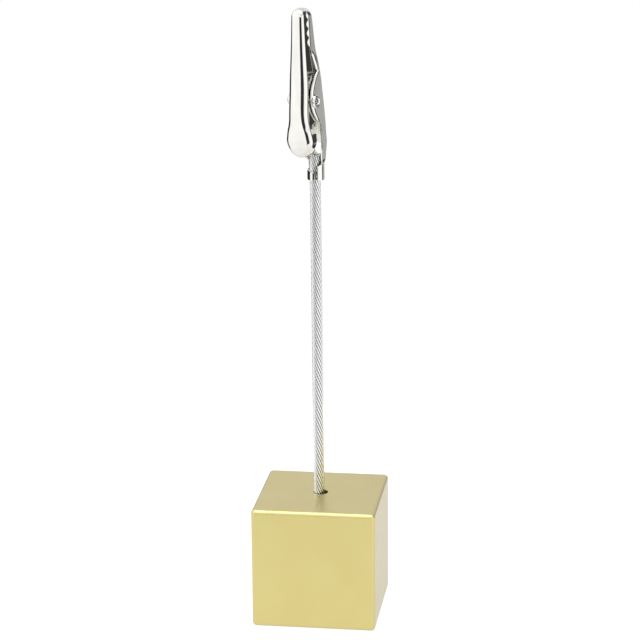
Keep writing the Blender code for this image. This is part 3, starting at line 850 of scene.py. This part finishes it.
def make_lower_jaw():
    """The fixed jaw: crimp, trough with a hole in its web, two ears and a toothed nose."""
    half_width = smooth_curve(LOWER_HALF_WIDTH)
    web = smooth_curve(LOWER_WEB_U)
    corner = smooth_curve(LOWER_CORNER)
    ear_ends = [EAR_CENTRE_Z - EAR_HALF_CHORD, EAR_CENTRE_Z + EAR_HALF_CHORD]
    bends = [LOWER_START_Z, *BARREL_END_Z, *NEAR_TAB_Z, *FAR_TAB_Z, *ear_ends,
             FIRST_TOOTH_Z, LOWER_NOSE_Z]
    heights = filled(bends + tooth_heights(), ROW_STEP)
    outline = [(half_width(z), z, z) for z in heights[:-1]]
    outline += round_end(half_width(LOWER_NOSE_Z), LOWER_NOSE_Z, LOWER_NOSE_RISE)
    rows = []
    for (v, z, middle_z), normal in zip(outline, outline_normals(outline, False)):
        half = channel_half(v, z, middle_z, normal, web, corner(z), corner(z), lower_edge(z), -1,
                            curl=lower_curl(z))
        rows.append(joined_row(rolled_half(half, z, -1), rolled_half(half, z, 1)))
    shape = grid_surface([row[::-1] for row in rows])
    punch(shape, (0, web(WEB_HOLE_Z), WEB_HOLE_Z), 1, WEB_HOLE_RADIUS, lambda p: p.y > 0)
    for side in (-1, 1):
        punch(shape, (0, PIVOT_U, PIVOT_Z), 0, PIVOT_HOLE_RADIUS, lambda p: p.x * side > MM)
    thicken(shape, SHEET, RIM_ROUNDING)
    piece = add_piece("clip_lower_jaw", shape, CLIP_FRAME, NICKEL, "holder", "nickel_plate",
                      "lower_jaw")
    piece.data.materials.append(DULL_NICKEL)


def upper_edge(z):
    """U of the upper jaw's free edges: spoon rim, lug, waist and teeth."""
    foot, shoulder_low, shoulder_high, head = [h * MM for h in LUG_OUTLINE_Z]
    root = TOOTH_LINE_U - JAW_GAP
    rim = smooth_curve(SPOON_RIM_U)
    if z < foot:
        return rim(z)
    if z < shoulder_high:
        return rim(foot) + (LUG_U - rim(foot)) * ramp(z, foot, shoulder_low)
    if z < FIRST_TOOTH_Z:
        waist = UPPER_WAIST_U + (root - UPPER_WAIST_U) * ramp(z, head, FIRST_TOOTH_Z)
        return LUG_U + (waist - LUG_U) * ramp(z, shoulder_high, head)
    return tooth_edge(z) - JAW_GAP


def lug_share(z):
    """1 in the lugs' stretch, where the walls step inwards, and 0 outside it."""
    foot, head = LUG_OUTLINE_Z[0] * MM, LUG_OUTLINE_Z[-1] * MM
    return ramp(z, foot - LUG_FADE, foot) * ramp(z, head + LUG_FADE, head)


def make_upper_jaw():
    """The moving jaw: round spoon, two lugs between the ears and a toothed nose."""
    half_width = smooth_curve(UPPER_HALF_WIDTH)
    back = smooth_curve(UPPER_BACK_U)
    corner = smooth_curve(UPPER_CORNER)
    corner_depth = smooth_curve(UPPER_CORNER_DEPTH)
    crown = smooth_curve(UPPER_CROWN)
    spoon_centre = SPOON_BOTTOM_Z + SPOON_RISE
    spoon = round_end(SPOON_HALF_WIDTH, spoon_centre, -SPOON_RISE)
    bends = [spoon_centre, *(h * MM for h in LUG_OUTLINE_Z), FIRST_TOOTH_Z, UPPER_NOSE_Z]
    heights = filled(bends + tooth_heights(), ROW_STEP)
    outline = spoon[:0:-1]
    outline += [(half_width(z), z, z) for z in heights[:-1]]
    outline += round_end(half_width(UPPER_NOSE_Z), UPPER_NOSE_Z, UPPER_NOSE_RISE)
    rows = []
    for (v, z, middle_z), normal in zip(outline, outline_normals(outline, True)):
        tuck = max(v - LUG_HALF_WIDTH, 0) * lug_share(z)
        half = channel_half(v, z, middle_z, normal, back, corner(z), corner_depth(z),
                            upper_edge(z), 1, UPPER_FLARE, crown(z), tuck)
        rows.append(joined_row(half, half))
    shape = grid_surface(rows)
    for side in (-1, 1):
        punch(shape, (0, PIVOT_U, PIVOT_Z), 0, PIVOT_HOLE_RADIUS, lambda p: p.x * side > MM)
    thicken(shape, SHEET, RIM_ROUNDING)
    piece = add_piece("clip_upper_jaw", shape, CLIP_FRAME, NICKEL, "upper_jaw", "nickel_plate",
                      "upper_jaw")
    piece.data.materials.append(DULL_NICKEL)


# ---------------------------------------------------------------- rivet and spring

def make_rivet():
    """A pan head on the far side, and on the near side a tube end rolled over the ear."""
    head_base = -EAR_OUTER - RIVET_GAP
    rolled_base = EAR_OUTER + RIVET_GAP
    rim_top = rolled_base + ROLLED_RIM
    profile = [(0, head_base - HEAD_HEIGHT)]
    for k in range(HEAD_STEPS + 1):
        a = math.pi / 2 * k / HEAD_STEPS
        profile.append((HEAD_RADIUS - HEAD_ROUNDING * (1 - math.sin(a)),
                        head_base - HEAD_HEIGHT + HEAD_ROUNDING * (1 - math.cos(a))))
    profile += [(HEAD_RADIUS, head_base), (SHAFT_RADIUS, head_base), (SHAFT_RADIUS, rolled_base)]
    profile += [(HEAD_RADIUS, rolled_base)]
    for k in range(LIP_STEPS + 1):
        a = math.pi * k / LIP_STEPS
        profile.append((HEAD_RADIUS - ROLLED_LIP * (1 - math.cos(a)),
                        rim_top + (ROLLED_HEIGHT - ROLLED_RIM) * math.sin(a)))
    bore = HEAD_RADIUS - 2 * ROLLED_LIP
    profile += [(bore, rim_top - BORE_DEPTH), (0, rim_top - BORE_DEPTH - BORE_CONE)]
    shape = turned(profile, RIVET_SIDES)
    place = (CLIP_FRAME @ Matrix.Translation((0, PIVOT_U, PIVOT_Z))
             @ Matrix.Rotation(math.pi / 2, 4, "Y"))
    piece = add_piece("clip_rivet", shape, place, RIVET_NICKEL, "holder", "rivet_nickel",
                      "pivot_rivet")
    piece.data.set_sharp_from_angle(angle=math.radians(50))


def between(start, end, count):
    """Evenly spaced points between two others, without those two."""
    return [start.lerp(end, k / (count + 1)) for k in range(1, count + 1)]


def make_spring():
    """The coil round the rivet; one arm ends at the web, the other at the spoon."""
    total = 2 * math.pi * SPRING_TURNS + SPOON_ARM_ANGLE - WEB_ARM_ANGLE
    steps = SPRING_TURNS * SPRING_POINTS_A_TURN
    coil = []
    for k in range(steps + 1):
        a = WEB_ARM_ANGLE + total * k / steps
        v = -SPRING_HALF_WIDTH + 2 * SPRING_HALF_WIDTH * k / steps
        coil.append(Vector((v, PIVOT_U + SPRING_COIL_RADIUS * math.cos(a),
                            PIVOT_Z + SPRING_COIL_RADIUS * math.sin(a))))
    web_end, spoon_end = Vector(WEB_ARM_END), Vector(SPOON_ARM_END)
    # The second set of added points lies inside the coil, and the spoon's arm has none.
    near = steps + 1 - SPRING_ARM_POINTS
    points = [web_end, *between(web_end, coil[0], SPRING_ARM_POINTS), *coil[:near],
              *between(coil[near], coil[near - 1], SPRING_ARM_POINTS)[::-1], *coil[near:],
              spoon_end]
    wire = tube(points, SPRING_WIRE_RADIUS, SPRING_SIDES)
    piece = add_piece("clip_spring", wire, CLIP_FRAME, SPRING_STEEL, None, "spring_wire",
                      "torsion_spring")
    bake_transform(piece)


make_camera()
make_tent()
make_overhead_light()
make_floor()

GOLD = anodised_gold()
ROPE_STEEL = drawn_steel("rope_steel", (0.81, 0.815, 0.81), (0.6, 0.605, 0.6), 0.2)
# The inner and core wires are the same steel, darkened as painted shade for the grooves between the
# outer wires.
CORE_STEEL_PAINTED_SHADE = drawn_steel("rope_steel_inside_painted_shade", (0.3, 0.3, 0.3), (0.2, 0.2, 0.2), 0.4)
SPRING_STEEL = drawn_steel("spring_steel", (0.62, 0.62, 0.63), (0.5, 0.5, 0.5), 0.25)
NICKEL = nickel_plate("nickel_plate", (0.62, 0.61, 0.58), (0.67, 0.66, 0.63), 0.06)
DULL_NICKEL = nickel_plate("nickel_plate_inside", (0.80, 0.80, 0.725), (0.86, 0.86, 0.79), 0.42)
RIVET_NICKEL = nickel_plate("rivet_nickel", (0.63, 0.62, 0.59), (0.69, 0.68, 0.66), 0.12)
ADHESIVE_AND_HOLE_SHADE = adhesive_with_painted_hole_shade()

make_cube()
make_rope()
make_lower_jaw()
make_upper_jaw()
make_rivet()
make_spring()
# The adhesive's dark tone is partly painted shade for the hole.
dress("adhesive_bond", ADHESIVE_AND_HOLE_SHADE)
# Painted shade: the inner and core wires get the darkened steel.
dress("rope_core_wire", CORE_STEEL_PAINTED_SHADE)
for number in range(1, INNER_WIRES + 1):
    dress(f"rope_inner_wire_{number:02d}", CORE_STEEL_PAINTED_SHADE)
